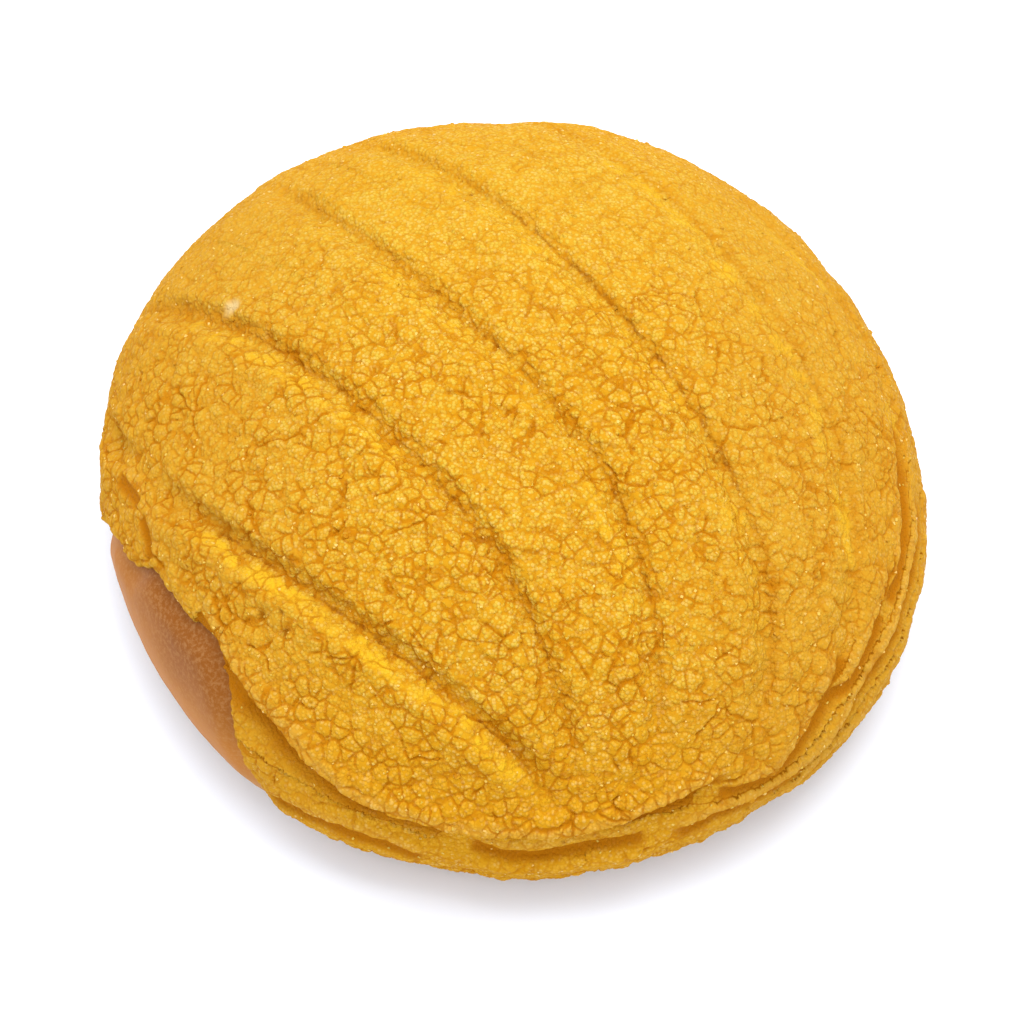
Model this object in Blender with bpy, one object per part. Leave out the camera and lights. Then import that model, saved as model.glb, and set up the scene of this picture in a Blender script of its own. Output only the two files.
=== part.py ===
"""A concha: a round sweet bun under a thick shell of cracked sugar paste, scored with a fan of grooves.

Metres, +Z up. The bun stands on its flat foot at z = 0, and the fan of grooves meets near the rim at -Y.
"""

import math

import bmesh
import bpy
import numpy as np
from mathutils import Vector, noise
from mathutils.geometry import interpolate_bezier

MM = 0.001

# The loaf: a slightly oval dome over an undercut belly with a flat foot
MEAN_RADIUS = 57.9 * MM
OVAL = 1.35 * MM
OVAL_TURN = math.radians(-48)
SQUARENESS = 0.4 * MM
SQUARENESS_TURN = math.radians(-28)
HEIGHT = 48 * MM
BELLY_HEIGHT = 0.33 * HEIGHT
DOME_HEIGHT = HEIGHT - BELLY_HEIGHT
DOME_POWER = 2.2
FOOT_SHARE = 0.85
FOOT_BLEND = 0.4

# The sugar paste, its rounded edge and the bread that swells out where the paste ends
PASTE = 3.8 * MM
PASTE_AT_EDGE = 1.7 * MM
PASTE_LEAST = 0.9 * MM
THINNING = 9 * MM
EDGE_ROUND = 2.2 * MM
BARE_DEPTH = 0.1 * MM
BARE_SWELL = 3.4 * MM
GAP = 0.35 * MM

# Height of the paste's lower edge round the loaf, in degrees and millimetres: low all round, high over
# the bare patch on the left of the fan, and a little up in front, where a strip of bread shows
LOW_EDGE = 3.7
EDGE_STATIONS = [
    (-184, LOW_EDGE),
    (-178, 10),
    (-173, 17),
    (-168, 21.3),
    (-161, 23.6),
    (-158, 27.6),
    (-150, 28.4),
    (-141, 29.4),
    (-137, 27.4),
    (-133.7, 24.5),
    (-131.7, 19),
    (-129.7, 13.5),
    (-127.2, 9),
    (-124.2, 6),
    (-118, LOW_EDGE),
    (-84, LOW_EDGE),
    (-78, 5.8),
    (-72, 6.2),
    (-66, 5.6),
    (-60, LOW_EDGE),
]
# A slight waver of that edge, as (waves round the loaf, turn, height in millimetres)
EDGE_WAVES = [(3, 0.7, 0.45), (7, 2.0, 0.27), (17, 0.0, 0.18)]

# The scored grooves, as plan Bezier handles in millimetres from the far rim to the fan's foot,
# each with its depth and the height of the ridge that the cutter pushed up on its left bank.
# The first one has closed up again over a short length near its far end.
GROOVES = [
    ([(-56.5, 9), (-55, -12), (-19, -35), (9, -56)], 2.1, 0.9),
    ([(-53.5, 25), (-31, 6), (3, -20), (10, -55)], 1.7, 0.5),
    ([(-36.5, 44.5), (-7, 2), (23, -6), (20, -54)], 1.4, 0.4),
    ([(-24, 51.5), (2, 28), (48, -21), (32, -47)], 1.4, 0.3),
    ([(2, 53.5), (25, 34), (59, -6), (43, -39)], 0.75, 0.2),
    ([(27, 44), (46, 22), (59, 16), (53, -18)], 0.45, 0.1),
]
STEEP_SIDE = 0.9 * MM
GENTLE_SIDE = 2.7 * MM
RIDGE_AT = 4.2 * MM
RIDGE_WIDTH = 2.0 * MM
SHOULDER = 0.3 * MM
GROOVE_FADE = 0.1
CLOSED_AT = 0.24
CLOSED_LENGTH = 0.09
CLOSED_BY = 0.8

# The folds of paste round the rim, each as (degrees, height in millimetres) along its crease, with the drop
# below the fold's lip, how far down the drop is made up again and how far the sheet below then stands out.
# The first is the long ledge at the cap's lower edge.
FOLDS = [
    (
        [
            (-141, 30.5),
            (-132, 28.6),
            (-125, 27.4),
            (-119, 25.1),
            (-112, 23.1),
            (-104, 22.2),
            (-92, 21.3),
            (-80, 21.1),
            (-72, 22.6),
            (-65, 23.6),
            (-58, 23.6),
        ],
        2.6,
        4.5,
        0.5,
    ),
    ([(-127, 13.2), (-120, 14), (-113, 15.6), (-107, 14.5), (-101, 12.5)], 0.8, 1.6, 0.8),
    ([(-96, 17.6), (-89, 16), (-84, 16.2), (-78, 17), (-71, 17.4)], 0.8, 1.6, 0.8),
    ([(-62, 21.6), (-57, 20.8), (-53, 19.8), (-49, 21.8), (-45, 23.8), (-41, 26), (-36, 28)], 1.2, 2, 0.4),
    ([(-69, 15.4), (-62, 17.4), (-54, 16.2), (-46, 16.6), (-36, 20.8), (-20, 22.6), (-4, 24)], 1.3, 2, 0.5),
    ([(-43, 25.4), (-38, 23.8), (-33, 24.8), (-28, 26), (-20, 27.8)], 0.9, 1.8, 0.2),
    ([(-54, 11), (-42, 13), (-30, 15), (-14, 17.4), (2, 19)], 0.9, 1.6, 0.4),
    ([(-26, 25), (-16, 26.4), (-6, 27.6), (4, 28.6)], 0.6, 2, 0.3),
    ([(20, 17), (48, 15), (80, 16.5), (104, 14)], 0.8, 2, 0.6),
    ([(118, 16), (140, 14), (163, 17)], 0.8, 2, 0.6),
]
FOLD_RISE = 0.9 * MM
FOLD_LEAN = 1.5 * MM
FOLD_FADE = 0.12
LIP_SHARE = 0.28
SWELL_BELOW = 1.9
SWELL_WIDTH = 2.0

# Uneven lumps of the paste and the softer unevenness of the bread, each as (size, height)
PASTE_LUMPS = [(16 * MM, 0.55 * MM), (6.5 * MM, 0.4 * MM)]
BREAD_LUMPS = [(22 * MM, 0.5 * MM)]

# Mesh: dense sheets, then thinned to a light one that keeps the relief
SEGMENTS = 360
PASTE_RINGS = 112
EVEN_SHARE = 0.32
INNER_RINGS = 22
DOME_RINGS = 44
BELLY_RINGS = 22
TOPPING_TRIANGLES = 10400
BUN_TRIANGLES = 3200
PATH_STEPS = 72


def smooth_step(value):
    value = np.clip(value, 0, 1)
    return value * value * (3 - 2 * value)


def plan_radius(angle):
    """The outline seen from above."""
    oval = OVAL * np.cos(2 * (angle - OVAL_TURN))
    square = SQUARENESS * np.cos(4 * (angle - SQUARENESS_TURN))
    return MEAN_RADIUS + oval + square


def loaf_surface(angle, fall):
    """Points, normals and downhill directions: fall is 0 at the top, 1 at the belly, 2 at the foot's rim."""
    radius = plan_radius(angle)
    upper = np.minimum(fall, 1) * math.pi / 2
    lower = np.maximum(fall - 1, 0) * math.pi / 2
    share = np.sin(upper)
    dome_z = np.sqrt(np.maximum(1 - share**DOME_POWER, 0))
    on_dome = fall <= 1
    across = radius * np.where(on_dome, share, FOOT_SHARE + (1 - FOOT_SHARE) * np.cos(lower))
    height = np.where(
        on_dome,
        BELLY_HEIGHT + DOME_HEIGHT * dome_z,
        BELLY_HEIGHT * (1 - np.sin(lower)),
    )
    out = np.where(
        on_dome,
        DOME_POWER * share ** (DOME_POWER - 1) / radius,
        np.cos(lower) / ((1 - FOOT_SHARE) * radius),
    )
    up = np.where(on_dome, 2 * dome_z / DOME_HEIGHT, -np.sin(lower) / BELLY_HEIGHT)
    size = np.hypot(out, up)
    out, up = out / size, up / size
    cosine, sine = np.cos(angle), np.sin(angle)
    points = np.stack([across * cosine, across * sine, height], -1)
    normals = np.stack([out * cosine, out * sine, up], -1)
    downhill = np.stack([up * cosine, up * sine, -out], -1)
    return points, normals, downhill


def fall_at_height(height):
    """The fall at which the plain loaf's surface has this height."""
    dome = np.clip((height - BELLY_HEIGHT) / DOME_HEIGHT, 0, 1)
    upper = np.arcsin((1 - dome**2) ** (1 / DOME_POWER))
    lower = np.arcsin(np.clip(1 - height / BELLY_HEIGHT, 0, 1))
    return np.where(height >= BELLY_HEIGHT, upper, math.pi / 2 + lower) * 2 / math.pi


def fall_at_plan(x, y):
    """The angle and the fall of a point of the dome, seen from above."""
    angle = np.arctan2(y, x)
    share = np.clip(np.hypot(x, y) / plan_radius(angle), 0, 1)
    return angle, np.arcsin(share) * 2 / math.pi


FALL_TABLE = np.linspace(0, 2, 401)
PROFILE = loaf_surface(np.zeros_like(FALL_TABLE), FALL_TABLE)[0]
PROFILE_STEPS = np.linalg.norm(np.diff(PROFILE, axis=0), axis=1)
DISTANCE_TABLE = np.concatenate([[0], np.cumsum(PROFILE_STEPS)])


def distance_down(fall):
    """The way over the surface from the top to this fall."""
    return np.interp(fall, FALL_TABLE, DISTANCE_TABLE)


def paste_edge_fall(angle):
    """The fall at which the paste ends, all round the loaf."""
    degrees = (np.degrees(angle) + 190) % 360 - 190
    at, heights = zip(*EDGE_STATIONS)
    height = sum(np.interp(degrees + shift, at, heights) for shift in (-1, 0, 1)) / 3
    wave = sum(size * np.sin(count * angle + turn) for count, turn, size in EDGE_WAVES)
    return fall_at_height((height + wave) * MM)


def paste_fall(angle, share):
    """The fall of a ring of the paste: rings are level near the top, then close up where the edge is high."""
    level = share * fall_at_height(LOW_EDGE * MM)
    last_level = EVEN_SHARE * fall_at_height(LOW_EDGE * MM)
    closing = (share - EVEN_SHARE) / (1 - EVEN_SHARE)
    return np.where(share < EVEN_SHARE, level, last_level + closing * (paste_edge_fall(angle) - last_level))


def inside_edge(angle, fall):
    """How far a point lies inside the paste's edge, measured square to the edge."""
    half_step = math.radians(0.5)
    rim = distance_down(paste_edge_fall(angle))
    rim_after = distance_down(paste_edge_fall(angle + half_step))
    rim_before = distance_down(paste_edge_fall(angle - half_step))
    slope = (rim_after - rim_before) / (2 * half_step * MEAN_RADIUS)
    return (rim - distance_down(fall)) / np.hypot(1, slope)


def lumps(points, sizes, shift):
    """Smooth seeded unevenness, summed over its sizes."""
    total = np.zeros(len(points))
    for size, height in sizes:
        total += [height * noise.noise(Vector(point) / size + Vector((shift, shift, 0))) for point in points]
    return total


def bread_offset(angle, fall, points):
    """How far the bread lies outside the plain loaf: inside it under the paste, almost level where bare."""
    inside = inside_edge(angle, fall)
    under = smooth_step(inside / THINNING)
    bare = smooth_step(-inside / BARE_SWELL)
    depth = PASTE_AT_EDGE + (PASTE - PASTE_AT_EDGE) * under - (PASTE_AT_EDGE - BARE_DEPTH) * bare
    foot = smooth_step((2 - fall) / FOOT_BLEND)
    return -depth * foot + lumps(points, BREAD_LUMPS, 3) * foot * smooth_step(inside / THINNING + 1)


def path_of(angle, fall):
    """A path over the loaf as points, directions square to it, and the share of the way along."""
    points, normals, _ = loaf_surface(angle, fall)
    along = np.gradient(points, axis=0)
    side = np.cross(normals, along)
    side /= np.linalg.norm(side, axis=1)[:, None]
    return points, side, np.linspace(0, 1, len(points))


def groove_path(handles):
    handles = [Vector((x * MM, y * MM, 0)) for x, y in handles]
    flat = np.array(interpolate_bezier(*handles, PATH_STEPS))
    return path_of(*fall_at_plan(flat[:, 0], flat[:, 1]))


def fold_path(stations):
    """A crease through its stations, from left to right, so that its side direction points uphill."""
    at, heights = np.array(stations).T
    steps = np.linspace(0, len(at) - 1, PATH_STEPS)
    angle = np.radians(np.interp(steps, range(len(at)), at))
    height = np.interp(steps, range(len(at)), heights) * MM
    return path_of(angle, fall_at_height(height))


def across_path(points, path):
    """For each point the signed distance across a path, to its left, and the share of the way along it."""
    line, side, share = path
    nearest = np.argmin(((points[:, None, :] - line[None]) ** 2).sum(-1), axis=1)
    return ((points - line[nearest]) * side[nearest]).sum(-1), share[nearest]


def fade_at_ends(share, fade):
    return smooth_step(share / fade) * smooth_step((1 - share) / fade)


def groove_relief(points):
    """Each groove drops steeply from the rib on one side and climbs to a pushed-up ridge on the other."""
    relief = np.zeros(len(points))
    for handles, depth, ridge in GROOVES:
        across, share = across_path(points, groove_path(handles))
        strength = fade_at_ends(share, GROOVE_FADE)
        if handles is GROOVES[0][0]:
            strength *= 1 - CLOSED_BY * np.exp(-(((share - CLOSED_AT) / CLOSED_LENGTH) ** 2))
        # The paths run towards the fan's foot, so a point's left is the steep upper-right rib
        width = np.where(across > 0, STEEP_SIDE, GENTLE_SIDE)
        cut = -depth * MM * np.exp(-((across / width) ** 2))
        bank = ridge * MM * np.exp(-(((across + RIDGE_AT) / RIDGE_WIDTH) ** 2))
        shoulder = SHOULDER * np.exp(-(((across - 2 * STEEP_SIDE) / (1.5 * STEEP_SIDE)) ** 2))
        relief += (cut + bank + shoulder) * strength
    return relief


def fold_relief(points):
    """Each fold's lip stands over its crease and leans down over it; below, the paste swells out again."""
    relief = np.zeros(len(points))
    lean = np.zeros(len(points))
    for stations, drop, recovery, swell in FOLDS:
        above, share = across_path(points, fold_path(stations))
        shown = MM * fade_at_ends(share, FOLD_FADE)
        faded = drop * shown
        below = np.exp(-np.maximum(-above, 0) / (recovery * MM))
        relief -= faded * below * smooth_step(1 - above / FOLD_RISE)
        relief += swell * shown * np.exp(-(((above / MM + SWELL_BELOW * recovery) / SWELL_WIDTH) ** 2))
        relief += LIP_SHARE * faded * np.exp(-((above / (2 * FOLD_RISE) - 1) ** 2))
        lean += FOLD_LEAN * np.exp(-((above / FOLD_RISE - 1) ** 2)) * np.minimum(faded / MM, 1)
    return relief, lean


def uv_sphere(rings):
    """A closed sphere, with each vertex's angle round Z and its ring counted from the top."""
    bm = bmesh.new()
    bmesh.ops.create_uvsphere(bm, u_segments=SEGMENTS, v_segments=rings, radius=1)
    directions = np.array([vertex.co for vertex in bm.verts])
    ring = np.rint(np.arccos(np.clip(directions[:, 2], -1, 1)) / math.pi * rings)
    return bm, np.arctan2(directions[:, 1], directions[:, 0]), ring


def place(bm, points):
    for vertex, point in zip(bm.verts, points):
        vertex.co = point


def bread_points(angle, fall):
    surface, normals, _ = loaf_surface(angle, fall)
    return surface + normals * bread_offset(angle, fall, surface)[:, None]


def shape_bun():
    """The bread: rings from the top to the foot's rim, and the rest of the sphere is cut off flat."""
    bm, angle, ring = uv_sphere(DOME_RINGS + BELLY_RINGS + 1)
    fall = np.where(ring <= DOME_RINGS, ring / DOME_RINGS, 1 + (ring - DOME_RINGS) / BELLY_RINGS)
    points = bread_points(angle, np.minimum(fall, 2))
    points[ring == DOME_RINGS + BELLY_RINGS, 2] = 0
    place(bm, points)
    pole = [vertex for vertex, count in zip(bm.verts, ring) if count == ring.max()]
    bmesh.ops.delete(bm, geom=pole, context="VERTS")
    open_rim = [edge for edge in bm.edges if edge.is_boundary]
    rim = {vertex for edge in open_rim for vertex in edge.verts}
    bmesh.ops.holes_fill(bm, edges=open_rim, sides=0)
    return bm, rim


def shape_topping():
    """The paste: the sphere's upper rings are its face and the rest its inner skin, joined at the edge."""
    bm, angle, ring = uv_sphere(PASTE_RINGS + INNER_RINGS)
    outer = ring <= PASTE_RINGS
    share = np.where(outer, ring / PASTE_RINGS, (PASTE_RINGS + INNER_RINGS - ring) / INNER_RINGS)
    fall = paste_fall(angle, share)
    surface, normals, downhill = loaf_surface(angle, fall)
    inner_offset = bread_offset(angle, fall, surface) + GAP

    folds, lean = fold_relief(surface)
    face_offset = groove_relief(surface) + folds + lumps(surface, PASTE_LUMPS, 11)
    inside = np.maximum(inside_edge(angle, fall), 0)
    rounded = np.sqrt(1 - (1 - np.minimum(inside / EDGE_ROUND, 1)) ** 2)
    thickness = np.maximum(face_offset - inner_offset, PASTE_LEAST) * rounded
    offset = inner_offset + np.where(outer, thickness, 0)
    slide = np.where(outer, lean * rounded, 0)
    place(bm, surface + normals * offset[:, None] + downhill * slide[:, None])
    return bm, {vertex for vertex, count in zip(bm.verts, ring) if count == PASTE_RINGS}


def bake(name, color, roughness):
    """A baked finish: colour and roughness, with no metal in it."""
    material = bpy.data.materials.new(name)
    material.use_nodes = True
    shader = material.node_tree.nodes["Principled BSDF"]
    shader.inputs["Base Color"].default_value = (*color, 1)
    shader.inputs["Roughness"].default_value = roughness
    shader.inputs["Metallic"].default_value = 0
    return material


def make_object(name, bm, rim, triangles, material):
    """An object from a dense body: edges off its rim are turned to follow the relief, and it is thinned."""
    bmesh.ops.triangulate(bm, faces=bm.faces, quad_method="SHORT_EDGE")
    turnable = [edge for edge in bm.edges if not all(vertex in rim for vertex in edge.verts)]
    bmesh.ops.beautify_fill(bm, faces=bm.faces, edges=turnable, method="ANGLE")
    bmesh.ops.recalc_face_normals(bm, faces=bm.faces)
    mesh = bpy.data.meshes.new(name)
    bm.to_mesh(mesh)
    bm.free()
    mesh.shade_smooth()
    mesh.materials.append(material)
    thing = bpy.data.objects.new(name, mesh)
    bpy.context.scene.collection.objects.link(thing)
    thinning = thing.modifiers.new("Thinning", "DECIMATE")
    thinning.ratio = triangles / len(mesh.polygons)
    return thing


def main():
    for thing in list(bpy.data.objects):
        bpy.data.objects.remove(thing)
    crust = bake("bread_crust", (0.47, 0.18, 0.05), 0.6)
    paste = bake("sugar_paste", (0.80, 0.38, 0.035), 0.75)
    make_object("bun", *shape_bun(), BUN_TRIANGLES, crust)
    make_object("topping", *shape_topping(), TOPPING_TRIANGLES, paste)


main()
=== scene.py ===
"""A concha on a pale table: the looks of the bread and of its cracked sugar-paste shell.

The paste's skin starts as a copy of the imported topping. It is remeshed to even squares, given the crackle,
the scored grooves' open seams and the folds' creases, and parted along the grooves into its ribs.
Metres, +Z up; the grooves' fan opens away from -Y.
"""

import math

import bpy
import numpy as np
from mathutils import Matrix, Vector
from mathutils.geometry import interpolate_bezier


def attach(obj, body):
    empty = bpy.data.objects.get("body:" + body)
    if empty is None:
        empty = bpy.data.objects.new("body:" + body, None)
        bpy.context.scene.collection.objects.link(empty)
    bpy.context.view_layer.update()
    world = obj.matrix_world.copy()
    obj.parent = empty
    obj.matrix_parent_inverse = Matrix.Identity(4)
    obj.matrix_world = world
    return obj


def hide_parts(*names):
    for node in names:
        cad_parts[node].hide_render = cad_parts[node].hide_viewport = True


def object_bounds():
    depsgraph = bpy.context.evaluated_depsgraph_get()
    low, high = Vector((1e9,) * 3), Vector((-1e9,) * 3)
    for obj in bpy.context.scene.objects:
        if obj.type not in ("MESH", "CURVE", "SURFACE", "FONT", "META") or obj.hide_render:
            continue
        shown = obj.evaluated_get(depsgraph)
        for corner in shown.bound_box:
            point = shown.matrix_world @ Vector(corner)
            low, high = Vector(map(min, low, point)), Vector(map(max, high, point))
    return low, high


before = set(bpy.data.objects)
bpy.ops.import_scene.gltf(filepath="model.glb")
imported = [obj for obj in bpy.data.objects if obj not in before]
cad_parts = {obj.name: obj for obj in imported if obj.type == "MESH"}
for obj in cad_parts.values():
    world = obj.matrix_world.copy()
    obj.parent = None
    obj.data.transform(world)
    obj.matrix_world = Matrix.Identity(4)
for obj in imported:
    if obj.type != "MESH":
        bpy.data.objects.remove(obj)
cad_low, cad_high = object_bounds()

MM = 0.001

# The scored grooves, as plan handles in millimetres from the far rim to the fan's foot. Each has how
# steep its side is, how dark the painted shade in the open seam at its bottom and how plain the smooth bank
# on its left,
# with the shares of the way that these show between
GROOVES = [
    ([(-56.5, 9), (-55, -12), (-19, -35), (9, -56)], (1.0, 0.3, 1.0), (0.65, 0.33, 1.0), (0.9, 0.36, 1.0)),
    ([(-53.5, 25), (-31, 6), (3, -20), (10, -55)], (1.0, 0.0, 1.0), (0.5, 0.15, 0.95), (0.6, 0.1, 0.6)),
    ([(-36.5, 44.5), (-7, 2), (23, -6), (20, -54)], (0.9, 0.0, 1.0), (0.5, 0.3, 0.95), (0.4, 0.1, 0.9)),
    ([(-24, 51.5), (2, 28), (48, -21), (32, -47)], (0.8, 0.0, 1.0), (0.6, 0.2, 0.75), (0.4, 0.1, 0.9)),
    ([(2, 53.5), (25, 34), (59, -6), (43, -39)], (0.7, 0.0, 0.9), (0.2, 0.3, 0.7), (0.6, 0.1, 0.9)),
    ([(27, 44), (46, 22), (59, 16), (53, -18)], (0.4, 0.0, 0.9), (0.0, 0.0, 1.0), (0.5, 0.1, 0.9)),
]
# The creases under the folds round the rim, as (degrees round, height in millimetres), each with its
# strength, how far down the sheet below it swells out again, and the share of the way it starts at
FOLDS = [
    (
        [
            (-134, 29),
            (-125, 27.4),
            (-119, 25.1),
            (-112, 23.1),
            (-104, 22.2),
            (-92, 21.3),
            (-80, 21.1),
            (-72, 22.6),
            (-65, 23.6),
            (-58, 23.6),
        ],
        1.0,
        5.0,
        -0.1,
    ),
    ([(-127, 13.2), (-120, 14), (-113, 15.6), (-107, 14.5), (-101, 12.5)], 0.85, 2.6, 0),
    ([(-96, 17.6), (-89, 16), (-84, 16.2), (-78, 17), (-71, 17.4)], 0.85, 2.2, 0),
    ([(-62, 21.6), (-57, 20.8), (-53, 19.8), (-49, 21.8), (-45, 23.8), (-41, 26), (-36, 28)], 0.85, 2.6, 0),
    ([(-69, 15.4), (-62, 17.4), (-54, 16.2), (-46, 16.6), (-36, 20.8), (-20, 22.6), (-4, 24)], 0.85, 2.6, 0),
    ([(-43, 25.4), (-38, 23.8), (-33, 24.8), (-28, 26), (-20, 27.8)], 0.7, 2.2, 0),
    ([(-54, 11), (-42, 13), (-30, 15), (-14, 17.4), (2, 19)], 0.85, 2.4, 0),
    ([(-26, 25), (-16, 26.4), (-6, 27.6), (4, 28.6)], 0.6, 2.2, 0),
]
# Creases between the lobes over the bare patch, as plan handles with their strength
LOBE_CREASES = [
    ([(-53.9, -4.5), (-52.8, -6.5), (-51.6, -8.5), (-50.6, -10.7)], 0.5),
    ([(-50.2, -12.5), (-49.4, -14.5), (-48.9, -16.5), (-48.8, -18.8)], 0.8),
]
# Cracks that cross the ribs, as plan handles with the darkness of the painted shade in them
CROSS_CRACKS = [
    ([(7, -9), (12, -14), (20, -11), (28, -12)], 0.45),
    ([(-8, -22), (-2, -28), (4, -27), (9, -28)], 0.45),
]
# Small deep pits and a spot where the paste has come off, as plan places and radii
PITS = [(-33.3, -31.7, 0.45), (-30.7, -32.3, 0.35), (-30.2, -34.5, 0.4)]
BARE_SPOTS = [(-38.4, 14.8, 1.0)]
SPOT_EDGE = 1.5
CROSS_WALL = 0.1
LOBE_REACH = 2.0

# How finely the lines are laid and evened, how far a groove runs on to part the shell, and how a line ends
PATH_STEPS = 200
AVERAGED = 11
RUN_ON = 30 * MM
END_FADE = 0.1
FAR = 99.0
AT_ONCE = 4000

# How far the calm surface under a fold and the rounded strip of a crease reach, in millimetres
UNDER_FOLD = 9
CREASE_WIDTH = 1.7
CREASE_PASSES = 14

# Mesh sizes, and how often each copy of a solid is softened
PASTE_SQUARE = 0.52 * MM
PASTE_PASSES = 6
CRUST_SQUARE = 0.9 * MM
CRUST_PASSES = 8
JOINED = 0.01 * MM

# A face that turns this far from outwards belongs to the shell's lining. A rib's back is its rim, scaled
LINING = -0.3
RIB_BACK = 0.965

# The crackle: cells of paste, the lumps on them, wider fissures and the sugar's grain, in millimetres,
# and how far its bottoms lie under the plain skin
CELL = 2.0
LUMP = 0.95
FISSURE = 7.0
GRAIN = 0.52
SUNK = 0.25

# Grains and crumbs that lie on the paste: how many, their size and how deep they are sunk in it
CRYSTALS = 1300
CRYSTAL = 0.34 * MM
CRYSTAL_SUNK = 0.1 * MM
CRUMBS = 300
CRUMB = 0.65 * MM
CRUMB_SUNK = 0.2 * MM
CRUMB_ROUND = 0.7
WHOLE_TURN = 6.3

# Finishes, as linear colours
PASTE_TOP = (0.505, 0.337, 0.038)
# Painted shade and bounced light for the paste low down
PASTE_SHADED_LOW = (0.55, 0.279, 0.016)
# Painted shade on the left and right flanks
PASTE_FLANK_SHADE = (0.42, 0.215, 0.02)
PASTE_PALE = (0.585, 0.385, 0.12)
PASTE_AMBER = (0.455, 0.208, 0.004)
PASTE_BANK = (0.60, 0.355, 0.012)
# Painted shade for cracks, creases and the grooves' steep sides
CREVICE_SHADE = (0.37, 0.125, 0.0005)
# Deeper painted shade for the open seams, holes, pits and creases
DEEP_SHADE = (0.20, 0.05, 0.0005)
SUGAR = (0.62, 0.38, 0.08)
BARE = (0.55, 0.40, 0.18)
CRUST_PALE = (0.45, 0.255, 0.105)
CRUST_TAN = (0.375, 0.128, 0.006)
CRUST_BROWN = (0.205, 0.061, 0.004)
TABLE = (0.80, 0.865, 0.975)

# The light and the camera, in metres, watts and degrees
DAYLIGHT = 1.43
KEY_PLACE = (0.07, 0.17, 0.98)
KEY_SIZE = 0.7
KEY_POWER = 7.6
LENS = 163.4
ELEVATION = 60
AIM = (0.00024, -0.0050, 0.0171)
AWAY = 0.65


class Field:
    """A value, colour or vector in a node tree. Sums and products of fields add their Math nodes."""

    def __init__(self, graph, socket):
        self.graph = graph
        self.socket = socket

    def math(self, operation, *values):
        return self.graph.add("ShaderNodeMath", {"operation": operation}, dict(enumerate(values)))

    def __add__(self, other):
        return self.math("ADD", self, other)

    def __radd__(self, other):
        return self.math("ADD", other, self)

    def __sub__(self, other):
        return self.math("SUBTRACT", self, other)

    def __rsub__(self, other):
        return self.math("SUBTRACT", other, self)

    def __mul__(self, other):
        return self.math("MULTIPLY", self, other)

    def __rmul__(self, other):
        return self.math("MULTIPLY", other, self)

    def __truediv__(self, other):
        return self.math("DIVIDE", self, other)

    def __rtruediv__(self, other):
        return self.math("DIVIDE", other, self)

    def __abs__(self):
        return self.math("ABSOLUTE", self)


class Graph:
    """A node tree that is filled by code."""

    def __init__(self, tree):
        self.tree = tree

    def add(self, kind, settings=None, values=None, out=0):
        """Adds a node, its settings first and then its sockets. Returns one of its outputs, or the node."""
        node = self.tree.nodes.new(kind)
        for name, value in (settings or {}).items():
            setattr(node, name, value)
        for name, value in (values or {}).items():
            if isinstance(value, Field):
                self.tree.links.new(value.socket, node.inputs[name])
            else:
                node.inputs[name].default_value = value
        return node if out is None else Field(self, node.outputs[out])

    def ramp(self, value, start, end):
        """0 before start, 1 after end and smooth between them; start may be the larger one."""
        low, high = min(start, end), max(start, end)
        sockets = {"Value": value, "From Min": low, "From Max": high}
        risen = self.add("ShaderNodeMapRange", {"interpolation_type": "SMOOTHSTEP"}, sockets)
        return risen if start < end else 1 - risen

    def mix(self, share, first, second):
        """The first colour where share is 0 and the second where it is 1."""
        values = {0: share, 6: first, 7: second}
        values = {k: (*v, 1) if isinstance(v, tuple) else v for k, v in values.items()}
        return self.add("ShaderNodeMix", {"data_type": "RGBA"}, values, out=2)

    def scaled(self, vector, factor):
        return self.add("ShaderNodeVectorMath", {"operation": "SCALE"}, {0: vector, "Scale": factor})

    def summed(self, first, second):
        return self.add("ShaderNodeVectorMath", {"operation": "ADD"}, {0: first, 1: second})

    def noise(self, place, size, detail=2.0, roughness=0.5, out=0):
        """Soft unevenness of this size in the place's units: a value, or a colour with out=1."""
        values = {"Vector": place, "Scale": 1 / size, "Detail": detail, "Roughness": roughness}
        return self.add("ShaderNodeTexNoise", None, values, out)

    def cells(self, place, size, feature, out=0):
        """Irregular cells of this size. The feature says whether distances are to middles or to borders."""
        values = {"Vector": place, "Scale": 1 / size}
        return self.add("ShaderNodeTexVoronoi", {"feature": feature}, values, out)


def ball(graph, value):
    """1 at the middle, where the value is 0, and falling like the top of a ball to 0 where it is 1."""
    reach = graph.add("ShaderNodeMath", {"operation": "MINIMUM"}, {0: value, 1: 1})
    return 1 - reach * reach


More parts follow.
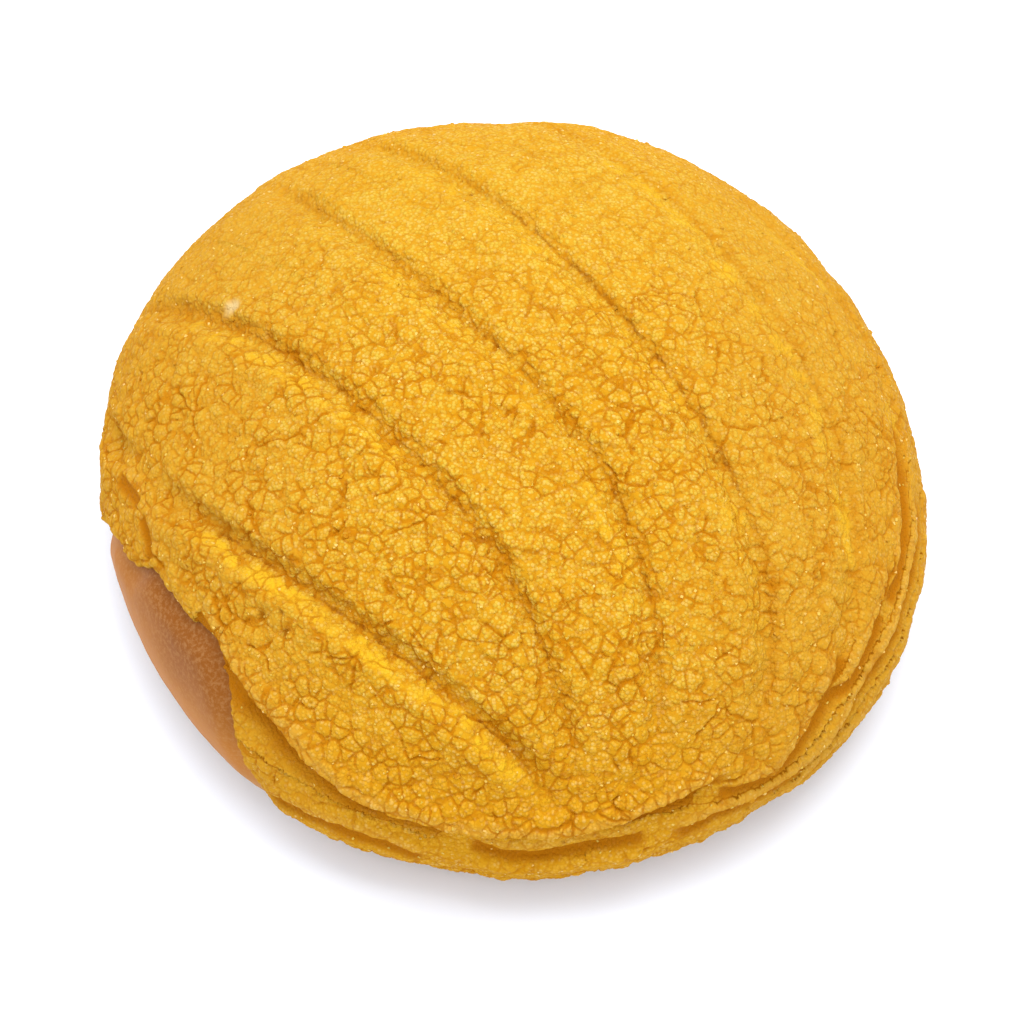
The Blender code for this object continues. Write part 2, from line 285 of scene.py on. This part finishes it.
def surface(graph, place, read):
    """The paste at a place: its height in millimetres, how far a lip leans down, and what shows where."""
    mm = graph.scaled(place, 1000)
    axes = graph.add("ShaderNodeSeparateXYZ", None, {0: mm}, out=None)
    drift = graph.scaled(graph.noise(mm, 2.8, out=1), 1.0)
    shiver = graph.scaled(graph.noise(mm, 0.8, out=1), 0.35)
    bent = graph.summed(graph.summed(mm, drift), shiver)

    # The scored grooves: painted shade in a broken seam and on the steep side, and a bright pushed-up bank,
    # partly painted light
    side, steep, dark, bank = (read("groove_" + name) for name in ("side", "wall", "dark", "bank"))
    side = side + (graph.noise(mm, 2.2, detail=4.0, roughness=0.6) - 0.5) * 1.8
    broken = graph.ramp(graph.noise(mm, 2.6) + dark * 0.2, 0.52, 0.66)
    seam = graph.ramp(abs(side), 0.4, 0.06) * broken * dark
    wall = graph.ramp(side, -0.9, -0.2) * graph.ramp(side, 1.4, 0.4) * steep
    patches = graph.ramp(graph.noise(mm, 3.5) + bank * 0.1, 0.44, 0.7)
    smooth = graph.ramp(side, -4.2, -2.8) * graph.ramp(side, -0.4, -1.4) * bank * patches

    # The folds: a lip that leans over a crease, and the sheet below that swells out again
    fold, depth, reach, under = (read("fold_" + name) for name in ("side", "depth", "reach", "under"))
    fold = fold + (graph.noise(mm, 3.0) - 0.5) * 0.8
    lip = graph.ramp(fold, -0.2, 0.5) * graph.ramp(fold, 5.0, 1.0) * depth
    # Painted highlight: a paler strip along each fold's lip
    edge = graph.ramp(fold, 0.6, 1.2) * graph.ramp(fold, 2.4, 1.4) * depth
    recess = graph.ramp(fold, 0.3, -0.5) * graph.ramp(fold / reach, -0.8, -0.1) * depth
    # Where painted shade lies under a fold's lip
    crease = graph.ramp(fold, 0.8, 0.2) * graph.ramp(fold / reach, -1.1, -0.5) * graph.ramp(depth, 0.0, 0.5)
    roll = graph.ramp(fold / reach, -0.4, -0.9) * depth
    pit, bare = read("pit"), read("bare")
    plain = 1 - crease * 0.8

    # Round-topped cells, each made of smaller lumps, calmer on the banks, under the folds and far back
    back = graph.ramp(Field(graph, axes.outputs[1]), -5.0, 35.0)
    flank = graph.ramp(Field(graph, axes.outputs[0]), 20.0, 42.0)
    calm = plain * (1 - smooth * 0.4) * (1 - under * 0.45) * (1 - back * 0.65) * (1 - flank * 0.25)
    dome = ball(graph, graph.cells(bent, CELL, "F1") * CELL / 1.6)
    lump = ball(graph, graph.cells(bent, LUMP, "F1") * LUMP / 0.75)
    rim = graph.cells(bent, CELL, "DISTANCE_TO_EDGE") * CELL
    patchy = 0.4 + graph.ramp(graph.noise(mm, 4.5), 0.4, 0.58) * 0.6
    small = graph.cells(bent, LUMP * 1.3, "DISTANCE_TO_EDGE") * LUMP * 1.3
    crack = graph.ramp(rim, 0.24, 0.07) * patchy * calm
    craze = graph.ramp(small, 0.13, 0.04) * graph.ramp(graph.noise(mm, 3.2), 0.42, 0.62) * calm

    # Longer fissures between groups of cells, and small round holes
    wide = graph.cells(graph.summed(bent, drift), FISSURE, "DISTANCE_TO_EDGE") * FISSURE
    fissure = graph.ramp(wide, 0.3, 0.06) * graph.ramp(graph.noise(mm, 6.0), 0.5, 0.6) * calm
    hole = graph.ramp(graph.cells(bent, 6.0, "F1") * 6.0, 0.36, 0.16) * calm

    height = dome * 0.36 * calm + lump * 0.18 * plain * (1 - smooth * 0.4)
    height = height + (graph.noise(mm, 6.0) - 0.5) * 0.6
    height = height - crack * 0.12 - fissure * 0.3 - hole * 0.2 - seam * 0.2
    height = height + smooth * 0.2 + wall * 0.2 + lip * 0.5 - recess * 0.2 + roll * 0.3
    near = graph.ramp(abs(side), 2.2, 0.4) * steep
    height = height + near * (graph.noise(mm, 1.5, detail=3.0) - 0.5) * 0.8
    height = height - pit * 0.5 - bare * 0.5
    return {
        "mm": mm,
        # Painted shade and bounced light: how low on the paste, where it is coloured darker and more orange
        "level": graph.ramp(Field(graph, axes.outputs[2]), 24.0, 43.0),
        # The share of painted shade on the left and right flanks
        "baked": graph.ramp(abs(Field(graph, axes.outputs[0])), 14.0, 42.0),
        "calm": calm,
        "height": height,
        "lean": lip * 0.3,
        "dome": dome,
        "lump": lump,
        "crack": crack,
        "craze": craze,
        "fissure": fissure,
        "hole": hole,
        "seam": seam,
        "wall": wall,
        "smooth": smooth,
        "edge": edge,
        "crease": crease,
        "pit": pit,
        "bare": bare,
    }


def alone(thing):
    """Makes this the only selected object, and the active one."""
    bpy.ops.object.select_all(action="DESELECT")
    thing.select_set(True)
    bpy.context.view_layer.objects.active = thing


def apply_modifiers(thing):
    """Makes what the thing's modifiers give its mesh."""
    alone(thing)
    for modifier in list(thing.modifiers):
        bpy.ops.object.modifier_apply(modifier=modifier.name)


def select_faces(mesh, chosen):
    """Leaves just the chosen faces selected, in object mode."""
    mesh.vertices.foreach_set("select", np.zeros(len(mesh.vertices), bool))
    mesh.edges.foreach_set("select", np.zeros(len(mesh.edges), bool))
    mesh.polygons.foreach_set("select", chosen)


def numbers(items, name, width):
    """One vector of every vertex or face."""
    values = np.empty(len(items) * width)
    items.foreach_get(name, values)
    return values.reshape(-1, width)


def even_copy(node, name, square, softness):
    """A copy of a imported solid: its loose triangles joined, remeshed to even squares and softened."""
    thing = bpy.data.objects.new(name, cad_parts[node].data.copy())
    thing.data.name = name
    bpy.context.scene.collection.objects.link(thing)
    alone(thing)
    bpy.ops.object.mode_set(mode="EDIT")
    bpy.ops.mesh.select_all(action="SELECT")
    bpy.ops.mesh.remove_doubles(threshold=JOINED)
    bpy.ops.object.mode_set(mode="OBJECT")
    remesh = thing.modifiers.new("Even squares", "REMESH")
    remesh.mode = "VOXEL"
    remesh.voxel_size = square
    remesh.use_smooth_shade = True
    soften = thing.modifiers.new("Soften", "SMOOTH")
    soften.iterations = softness
    apply_modifiers(thing)
    thing.data.materials.clear()
    return thing


def averaged(values):
    """The values averaged along a line, so that no single facet of the skin turns it."""
    padded = np.pad(values, ((AVERAGED // 2, AVERAGED // 2), (0, 0)), mode="edge")
    return np.stack([np.convolve(column, np.ones(AVERAGED) / AVERAGED, "valid") for column in padded.T], -1)


def laid_line(skin, starts, ways):
    """A line laid on the skin from its starts, with the directions along the skin to the line's left."""
    places, normals = [], []
    for start, way in zip(starts, ways):
        hit, place, normal, _ = skin.ray_cast(Vector(start), Vector(way))
        if hit:
            places.append(place)
            normals.append(normal)
    places = averaged(np.array(places))
    left = averaged(np.cross(averaged(np.array(normals)), np.gradient(places, axis=0)))
    return places, left / np.linalg.norm(left, axis=1)[:, None]


def plan_line(handles):
    """A scored line seen from above."""
    handles = [Vector((x, y, 0)) * MM for x, y in handles]
    return np.array(interpolate_bezier(*handles, PATH_STEPS))[:, :2]


def run_on(curve):
    """The line with straight lengths past both of its ends, so that it parts the whole shell."""
    steps = np.linspace(0, RUN_ON, PATH_STEPS // 4)[1:, None]
    first, last = curve[0] - curve[1], curve[-1] - curve[-2]
    before = curve[0] + first / np.linalg.norm(first) * steps[::-1]
    after = curve[-1] + last / np.linalg.norm(last) * steps
    return np.concatenate([before, curve, after])


def smooth_step(value):
    """0 up to 0, 1 from 1 on and smooth between them."""
    value = np.clip(value, 0, 1)
    return value * value * (3 - 2 * value)


def fade(share, start=0.0, end=1.0):
    """1 along a line between two shares of the way, rising from 0 and falling to 0 at them."""
    return smooth_step((share - start) / END_FADE) * smooth_step((end - share) / END_FADE)


def nearest(points, line):
    """The index of the line's point that is closest to each of the points."""
    found = np.empty(len(points), int)
    for start in range(0, len(points), AT_ONCE):
        part = points[start : start + AT_ONCE]
        found[start : start + AT_ONCE] = np.argmin(((part[:, None] - line[None]) ** 2).sum(-1), axis=1)
    return found


class Lines:
    """How far each vertex of a skin lies to the left of the nearest line, and that line's strengths there."""

    def __init__(self, points, names):
        self.points = points
        self.distance = np.full(len(points), FAR)
        self.side = np.full(len(points), FAR)
        self.strengths = {name: np.zeros(len(points)) for name in names}
        self.under = np.zeros(len(points))

    def lay(self, line, left, **strengths):
        """Adds a line. A strength is a number, or a number and the shares of the way it shows between."""
        closest = nearest(self.points, line)
        gap = self.points - line[closest]
        distance = np.linalg.norm(gap, axis=1) / MM
        side = (gap * left[closest]).sum(-1) / MM
        share = closest / (len(line) - 1)
        nearer = distance < self.distance
        self.distance = np.where(nearer, distance, self.distance)
        self.side = np.where(nearer, side, self.side)
        for name, strength in strengths.items():
            if isinstance(strength, tuple):
                faded = strength[0] * fade(share, *strength[1:])
            else:
                faded = np.full(len(share), float(strength))
            self.strengths[name] = np.where(nearer, faded, self.strengths[name])
        below = smooth_step(-side) * smooth_step((UNDER_FOLD - distance) / 2) * fade(share)
        self.under = np.maximum(self.under, below)

    def store(self, mesh, name):
        store(mesh, name + "_side", self.side)
        for word, values in self.strengths.items():
            store(mesh, f"{name}_{word}", values)


def store(mesh, name, values):
    """Keeps one number of every vertex under a name."""
    attribute = mesh.attributes.new(name, "FLOAT", "POINT")
    attribute.data.foreach_set("value", values.astype(np.float32))


def from_above(skin, curve):
    """A plan line dropped onto the skin."""
    return laid_line(skin, [(x, y, 2 * cad_high.z) for x, y in curve], [(0, 0, -1)] * len(curve))


def from_around(skin, stations):
    """A line of angles and heights, pressed onto the skin from outside."""
    angles, heights = np.array(stations).T
    steps = np.linspace(0, len(angles) - 1, PATH_STEPS)
    angle = np.radians(np.interp(steps, range(len(angles)), angles))
    height = np.interp(steps, range(len(angles)), heights) * MM
    out = np.stack([np.cos(angle), np.sin(angle), np.zeros(PATH_STEPS)], -1)
    starts = out * 2 * cad_high.x + np.stack([np.zeros(PATH_STEPS)] * 2 + [height], -1)
    return laid_line(skin, starts, -out)


def mark_grooves(skin, points):
    """Stores how each vertex lies to the scored grooves, and which rib it belongs to."""
    rib = np.zeros(len(points))
    grooves = Lines(points, ("wall", "dark", "bank"))
    for handles, wall, dark, bank in GROOVES:
        curve = plan_line(handles)
        grooves.lay(*from_above(skin, curve), wall=wall, dark=dark, bank=bank)
        whole = run_on(curve)
        along = np.gradient(whole, axis=0)
        closest = nearest(points[:, :2], whole)
        gap = points[:, :2] - whole[closest]
        rib += along[closest, 0] * gap[:, 1] - along[closest, 1] * gap[:, 0] > 0
    for handles, dark in CROSS_CRACKS:
        grooves.lay(*from_above(skin, plan_line(handles)), wall=CROSS_WALL, dark=dark, bank=0)
    grooves.store(skin.data, "groove")
    store(skin.data, "rib", rib)


def mark_folds(skin, points):
    """Stores how each vertex lies to the folds, and returns the vertices that lie in their creases."""
    folds = Lines(points, ("depth", "reach"))
    for stations, depth, reach, begins in FOLDS:
        folds.lay(*from_around(skin, stations), depth=(depth, begins), reach=reach)
    store(skin.data, "fold_under", folds.under)
    for handles, depth in LOBE_CREASES:
        folds.lay(*from_above(skin, plan_line(handles)), depth=(depth, 0.0), reach=LOBE_REACH)
    folds.store(skin.data, "fold")
    return np.flatnonzero((folds.distance < CREASE_WIDTH) & (folds.strengths["depth"] > 0))


def mark_spots(mesh, points):
    """Stores how near each vertex is to a pit, and to the spot where the paste has come off."""
    for name, spots in (("pit", PITS), ("bare", BARE_SPOTS)):
        gaps = [np.hypot(points[:, 0] / MM - x, points[:, 1] / MM - y) / radius for x, y, radius in spots]
        store(mesh, name, smooth_step(SPOT_EDGE - np.min(gaps, axis=0)))


def named(graph, name):
    """A stored number, in Geometry Nodes."""
    return graph.add("GeometryNodeInputNamedAttribute", {"data_type": "FLOAT"}, {"Name": name})


def geometry_tree(name):
    """A Geometry Nodes group with one geometry in and one out."""
    tree = bpy.data.node_groups.new(name, "GeometryNodeTree")
    tree.interface.new_socket("Geometry", in_out="INPUT", socket_type="NodeSocketGeometry")
    tree.interface.new_socket("Geometry", in_out="OUTPUT", socket_type="NodeSocketGeometry")
    return Graph(tree)


def run_tree(thing, graph, result):
    """Ends the tree with this result, and applies it to the thing."""
    graph.add("NodeGroupOutput", None, {0: result}, out=None)
    modifier = thing.modifiers.new("Shape", "NODES")
    modifier.node_group = graph.tree
    apply_modifiers(thing)


def raise_paste(rib):
    """Lifts the paste by its crackle, opens the seams, and leans the folds' lips over their creases."""
    graph = geometry_tree("Paste relief")
    start = graph.add("NodeGroupInput")
    place = graph.add("GeometryNodeInputPosition")
    kept = graph.add(
        "GeometryNodeStoreNamedAttribute",
        {"data_type": "FLOAT_VECTOR", "domain": "POINT"},
        {"Geometry": start, "Name": "plain_place", "Value": place},
    )
    paste = surface(graph, place, lambda name: named(graph, name))
    outward = graph.add("GeometryNodeInputNamedAttribute", {"data_type": "FLOAT_VECTOR"}, {"Name": "outward"})
    offset = graph.scaled(outward, (paste["height"] - SUNK) * MM)
    offset = graph.summed(offset, graph.scaled((0, 0, -MM), paste["lean"]))
    raised = graph.add("GeometryNodeSetPosition", None, {"Geometry": kept, "Offset": offset})
    run_tree(rib, graph, raised)


def scatter(rib, name, grain, density, size, sunk, seed):
    """Copies of a grain strewn over a rib, turned and sized at random and joined into one mesh."""
    thing = bpy.data.objects.new(name, rib.data.copy())
    bpy.context.scene.collection.objects.link(thing)
    graph = geometry_tree(name)
    start = graph.add("NodeGroupInput")
    spread = graph.add(
        "GeometryNodeDistributePointsOnFaces",
        {"distribute_method": "RANDOM"},
        {"Mesh": start, "Density": density, "Seed": seed},
        out=None,
    )
    points, normal = Field(graph, spread.outputs["Points"]), Field(graph, spread.outputs["Normal"])
    sinking = graph.scaled(normal, -sunk)
    points = graph.add("GeometryNodeSetPosition", None, {"Geometry": points, "Offset": sinking})
    turn = graph.add(
        "FunctionNodeRandomValue",
        {"data_type": "FLOAT_VECTOR"},
        {0: (0, 0, 0), 1: (WHOLE_TURN,) * 3, "Seed": seed},
    )
    stretch = graph.add(
        "FunctionNodeRandomValue",
        {"data_type": "FLOAT_VECTOR"},
        {0: (size * 0.6,) * 3, 1: (size * 1.25,) * 3, "Seed": seed + 1},
    )
    shape = graph.add("GeometryNodeObjectInfo", None, {"Object": grain}, "Geometry")
    strewn = graph.add(
        "GeometryNodeInstanceOnPoints",
        None,
        {"Points": points, "Instance": shape, "Rotation": turn, "Scale": stretch},
    )
    tint = graph.add("FunctionNodeRandomValue", {"data_type": "FLOAT"}, {"Seed": seed + 2}, out=1)
    tinted = graph.add(
        "GeometryNodeStoreNamedAttribute",
        {"data_type": "FLOAT", "domain": "INSTANCE"},
        {"Geometry": strewn, "Name": "tint", "Value": tint},
    )
    solid = graph.add("GeometryNodeRealizeInstances", None, {"Geometry": tinted})
    placed = graph.add(
        "GeometryNodeStoreNamedAttribute",
        {"data_type": "FLOAT_VECTOR", "domain": "POINT"},
        {"Geometry": solid, "Name": "plain_place", "Value": graph.add("GeometryNodeInputPosition")},
    )
    run_tree(thing, graph, placed)
    return thing


def joined(things, name, finish):
    """The things as one piece with one finish."""
    bpy.ops.object.select_all(action="DESELECT")
    for thing in things:
        thing.select_set(True)
    bpy.context.view_layer.objects.active = things[0]
    bpy.ops.object.join()
    things[0].name = things[0].data.name = name
    things[0].data.materials.clear()
    things[0].data.materials.append(finish)
    return things[0]


def grain_shape(name, corners_off):
    """One grain, a unit cube with its corners taken off."""
    bpy.ops.object.select_all(action="DESELECT")
    bpy.ops.mesh.primitive_cube_add(size=1, location=(0, 0, 0))
    thing = bpy.context.object
    thing.name = name
    if corners_off:
        bpy.ops.object.mode_set(mode="EDIT")
        bpy.ops.mesh.subdivide(number_cuts=1)
        bpy.ops.transform.tosphere(value=corners_off)
        bpy.ops.object.mode_set(mode="OBJECT")
    return thing


def make_skin():
    """The paste's outer skin, fine and marked with its grooves, folds and spots, still open at its lip."""
    skin = even_copy("topping", "paste_skin", PASTE_SQUARE, PASTE_PASSES)
    mesh = skin.data
    centres = numbers(mesh.polygons, "center", 3)
    normals = numbers(mesh.polygons, "normal", 3)
    outward = centres / np.linalg.norm(centres, axis=1)[:, None]
    select_faces(mesh, (outward * normals).sum(1) < LINING)
    bpy.ops.object.mode_set(mode="EDIT")
    bpy.ops.mesh.select_mode(type="FACE")
    bpy.ops.mesh.delete(type="FACE")
    bpy.ops.object.mode_set(mode="OBJECT")
    points = numbers(mesh.vertices, "co", 3)
    mark_grooves(skin, points)
    creases = mark_folds(skin, points)
    mark_spots(mesh, points)
    skin.vertex_groups.new(name="creases").add(creases.tolist(), 1, "REPLACE")
    rounding = skin.modifiers.new("Round the creases", "SMOOTH")
    rounding.vertex_group = "creases"
    rounding.iterations = CREASE_PASSES
    apply_modifiers(skin)
    outward = mesh.attributes.new("outward", "FLOAT_VECTOR", "POINT")
    outward.data.foreach_set("vector", numbers(mesh.vertices, "normal", 3).ravel())
    return skin


def rib_of(skin, count):
    """The part of the skin between two grooves, finer and with its crackle, still open at its back."""
    rib = skin.copy()
    rib.data = skin.data.copy()
    rib.name = rib.data.name = f"rib_{count + 1}"
    bpy.context.scene.collection.objects.link(rib)
    mesh = rib.data
    index = np.empty(len(mesh.vertices), np.float32)
    mesh.attributes["rib"].data.foreach_get("value", index)
    corner = np.empty(len(mesh.loops), np.int32)
    mesh.loops.foreach_get("vertex_index", corner)
    starts = np.empty(len(mesh.polygons), np.int32)
    mesh.polygons.foreach_get("loop_start", starts)
    alone(rib)
    select_faces(mesh, np.rint(index[corner[starts]]) != count)
    bpy.ops.object.mode_set(mode="EDIT")
    bpy.ops.mesh.select_mode(type="FACE")
    bpy.ops.mesh.delete(type="FACE")
    bpy.ops.object.mode_set(mode="OBJECT")
    finer = rib.modifiers.new("Finer", "SUBSURF")
    finer.levels = finer.render_levels = 1
    apply_modifiers(rib)
    raise_paste(rib)
    return rib


def close_rib(rib, finish):
    """Gives a rib its walls along the seams, and a back."""
    alone(rib)
    bpy.ops.object.mode_set(mode="EDIT")
    bpy.ops.mesh.select_mode(type="EDGE")
    bpy.ops.mesh.select_all(action="DESELECT")
    bpy.ops.mesh.select_non_manifold()
    bpy.ops.mesh.mark_sharp()
    bpy.ops.mesh.extrude_edges_move()
    bpy.ops.transform.resize(value=(RIB_BACK,) * 3, center_override=(0, 0, 0))
    bpy.ops.mesh.fill()
    bpy.ops.object.mode_set(mode="OBJECT")
    rib.data.materials.append(finish)
    rib.data.shade_smooth()


def make_paste():
    """The ribs of the paste, and the sugar grains and crumbs on them."""
    skin = make_skin()
    finish = paste_finish()
    crystal = grain_shape("crystal_shape", 0)
    crumb = grain_shape("crumb_shape", CRUMB_ROUND)
    area = sum(face.area for face in skin.data.polygons)
    ribs, crystals, crumbs = [], [], []
    for count in range(len(GROOVES) + 1):
        rib = rib_of(skin, count)
        crystals.append(scatter(rib, "grains", crystal, CRYSTALS / area, CRYSTAL, CRYSTAL_SUNK, 5 + count))
        crumbs.append(scatter(rib, "crumbs", crumb, CRUMBS / area, CRUMB, CRUMB_SUNK, 25 + count))
        close_rib(rib, finish)
        ribs.append(rib)
    for helper in (skin, crystal, crumb):
        bpy.data.objects.remove(helper)
    return ribs + [joined(crystals, "sugar_grains", sugar_finish()), joined(crumbs, "paste_crumbs", finish)]


def material(name):
    """A new material with its shader."""
    made = bpy.data.materials.new(name)
    made.use_nodes = True
    graph = Graph(made.node_tree)
    return made, graph, made.node_tree.nodes["Principled BSDF"]


def read(graph, name, out="Fac"):
    """A stored number or vector, in a material."""
    return graph.add("ShaderNodeAttribute", {"attribute_name": name}, None, out)


def feed(graph, shader, name, field):
    """Links a field to one of the shader's sockets."""
    graph.tree.links.new(field.socket, shader.inputs[name])


def paste_finish():
    """Dry sugar paste: grains of pale, gold and amber, painted shade in cracks, seams and creases, and
    saturated banks.
    """
    made, graph, shader = material("sugar_paste")
    paste = surface(graph, read(graph, "plain_place", "Vector"), lambda name: read(graph, name))
    mm = paste["mm"]

    bead = ball(graph, graph.cells(mm, GRAIN, "F1") * 1.6)
    tones = graph.add("ShaderNodeSeparateColor", None, {0: graph.cells(mm, GRAIN, "F1", out=1)}, out=None)
    tone, other = Field(graph, tones.outputs[0]), Field(graph, tones.outputs[1])
    # Painted shade and bounced light: the paste is darker and more orange lower down than on top
    color = graph.mix(paste["level"], PASTE_SHADED_LOW, PASTE_TOP)
    between = (1 - graph.ramp(bead, 0.0, 0.6)) * (0.5 + paste["calm"] * 0.35)
    color = graph.mix(between, color, PASTE_AMBER)
    color = graph.mix(graph.ramp(tone, 0.35, 0.95) * bead * (0.3 + paste["calm"] * 0.35), color, PASTE_PALE)
    color = graph.mix(graph.ramp(other, 0.55, 0.95) * 0.6, color, PASTE_AMBER)
    # Painted shade: the hollows between the cells are coloured amber
    low = 1 - paste["dome"] * 0.6 - paste["lump"] * 0.4
    color = graph.mix(low * 0.22, color, PASTE_AMBER)
    color = graph.mix(graph.ramp(graph.noise(mm, 9.0), 0.35, 0.7) * 0.25, color, PASTE_AMBER)
    # Painted shade: the left and right flanks are coloured darker
    color = graph.mix(paste["baked"] * 0.45, color, PASTE_FLANK_SHADE)
    # The banks' brighter yellow: partly the paste's own less toasted colour, partly painted light
    color = graph.mix(paste["smooth"] * 0.85, color, PASTE_BANK)
    # Painted highlight: a paler strip along each fold's lip
    color = graph.mix(paste["edge"] * 0.12, color, PASTE_PALE)
    # Painted shade on the grooves' steep sides
    color = graph.mix(paste["wall"] * 0.35, color, CREVICE_SHADE)
    # Painted shade in the crazing, the cracks and the fissures
    color = graph.mix(paste["craze"] * 0.4, color, CREVICE_SHADE)
    color = graph.mix(paste["crack"] * 0.8, color, CREVICE_SHADE)
    color = graph.mix(paste["fissure"] * 0.9, color, CREVICE_SHADE)
    # Painted shade under each fold's lip, in its crease
    color = graph.mix(paste["crease"] * 0.9, color, CREVICE_SHADE)
    color = graph.mix(paste["crease"] * 0.25, color, DEEP_SHADE)
    # Painted shade in the holes, the pits and the open seams
    color = graph.mix(paste["hole"] * 0.35, color, DEEP_SHADE)
    color = graph.mix(paste["pit"] * 0.35, color, DEEP_SHADE)
    color = graph.mix(paste["seam"] * 0.8, color, DEEP_SHADE)
    color = graph.mix(paste["bare"] * 0.9, color, BARE)
    feed(graph, shader, "Base Color", color)

    fine = graph.noise(mm, 0.2, detail=2.0)
    height = bead * 0.13 + fine * 0.05 - paste["crack"] * 0.03 - paste["craze"] * 0.02
    bump = graph.add("ShaderNodeBump", None, {"Strength": 0.9, "Distance": MM, "Height": height})
    feed(graph, shader, "Normal", bump)
    feed(graph, shader, "Roughness", 0.75 - graph.ramp(tone, 0.6, 0.95) * bead * 0.3)
    shader.inputs["Specular IOR Level"].default_value = 0.03
    return made


def sugar_finish():
    """Grains of sugar baked into the paste: pale and a little glossy, each with its own tint."""
    made, graph, shader = material("sugar_grain")
    tint = read(graph, "tint")
    color = graph.mix(graph.ramp(tint, 0.2, 1.0), PASTE_TOP, SUGAR)
    feed(graph, shader, "Base Color", color)
    shader.inputs["Roughness"].default_value = 0.35
    shader.inputs["Specular IOR Level"].default_value = 0.3
    return made


def crust_finish():
    """Baked bread: brown near the paste, tan below and pale towards the foot, finely mottled."""
    made, graph, shader = material("bread_crust")
    place = graph.add("ShaderNodeTexCoord", None, None, "Object")
    mm = graph.scaled(place, 1000)
    height = graph.add("ShaderNodeSeparateXYZ", None, {0: mm}, "Z")
    drift = (graph.noise(mm, 14.0, detail=3.0) - 0.5) * 9
    brown = graph.ramp(height + drift, 13.0, 27.0)
    pale = graph.ramp(height + drift * 0.6, 12.0, 3.0)
    color = graph.mix(brown, CRUST_TAN, CRUST_BROWN)
    color = graph.mix(pale * 0.85, color, CRUST_PALE)
    mottle = graph.ramp(graph.noise(mm, 0.6, detail=4.0, roughness=0.7), 0.42, 0.68)
    color = graph.mix(mottle * 0.28, color, CRUST_PALE)
    feed(graph, shader, "Base Color", color)
    wrinkle = graph.noise(mm, 1.6, detail=3.0) * 0.07 + graph.noise(mm, 0.35, detail=2.0) * 0.02
    bump = graph.add("ShaderNodeBump", None, {"Strength": 0.7, "Distance": MM, "Height": wrinkle})
    feed(graph, shader, "Normal", bump)
    feed(graph, shader, "Roughness", 0.52 + mottle * 0.12)
    shader.inputs["Specular IOR Level"].default_value = 0.12
    return made


def make_bun():
    """The bread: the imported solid's form with fine wrinkles."""
    bun = even_copy("bun", "bread", CRUST_SQUARE, CRUST_PASSES)
    graph = geometry_tree("Crust wrinkles")
    start = graph.add("NodeGroupInput")
    mm = graph.scaled(graph.add("GeometryNodeInputPosition"), 1000)
    height = (graph.noise(mm, 9.0) - 0.5) * 0.5 + (graph.noise(mm, 2.5) - 0.5) * 0.12
    level = graph.add("ShaderNodeSeparateXYZ", None, {0: mm}, "Z")
    height = height * graph.ramp(level, 0.5, 4.0)
    offset = graph.scaled(graph.add("GeometryNodeInputNormal"), height * MM)
    run_tree(bun, graph, graph.add("GeometryNodeSetPosition", None, {"Geometry": start, "Offset": offset}))
    bun.data.materials.append(crust_finish())
    bun.data.shade_smooth()
    return bun


def set_stage():
    """A pale table, soft daylight all round and a broad lamp behind the right shoulder."""
    bpy.ops.mesh.primitive_plane_add(size=4, location=(0, 0, 0))
    table = bpy.context.object
    table.name = "table"
    made, _, shader = material("pale_table")
    shader.inputs["Base Color"].default_value = (*TABLE, 1)
    shader.inputs["Roughness"].default_value = 0.9
    table.data.materials.append(made)

    world = bpy.data.worlds.new("Soft daylight")
    world.use_nodes = True
    world.node_tree.nodes["Background"].inputs["Color"].default_value = (1, 1, 1, 1)
    world.node_tree.nodes["Background"].inputs["Strength"].default_value = DAYLIGHT
    bpy.context.scene.world = world

    light = bpy.data.lights.new("key", "AREA")
    light.size = KEY_SIZE
    light.energy = KEY_POWER
    lamp = bpy.data.objects.new("key", light)
    lamp.location = KEY_PLACE
    lamp.rotation_euler = (-Vector(KEY_PLACE)).to_track_quat("-Z", "Y").to_euler()
    bpy.context.scene.collection.objects.link(lamp)


def set_camera():
    """A long lens from the front, looking down at sixty degrees."""
    camera = bpy.data.cameras.new("camera")
    camera.sensor_width = 36
    camera.lens = LENS
    thing = bpy.data.objects.new("camera", camera)
    bpy.context.scene.collection.objects.link(thing)
    elevation = math.radians(ELEVATION)
    back = Vector((0, -math.cos(elevation), math.sin(elevation)))
    thing.location = Vector(AIM) + back * AWAY
    thing.rotation_euler = (-back).to_track_quat("-Z", "Y").to_euler()
    bpy.context.scene.camera = thing


for piece in make_paste():
    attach(piece, "root")
    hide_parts("topping")
bun = make_bun()
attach(bun, "root")
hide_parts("bun")
set_stage()
set_camera()
bpy.context.scene.view_settings.view_transform = "Standard"
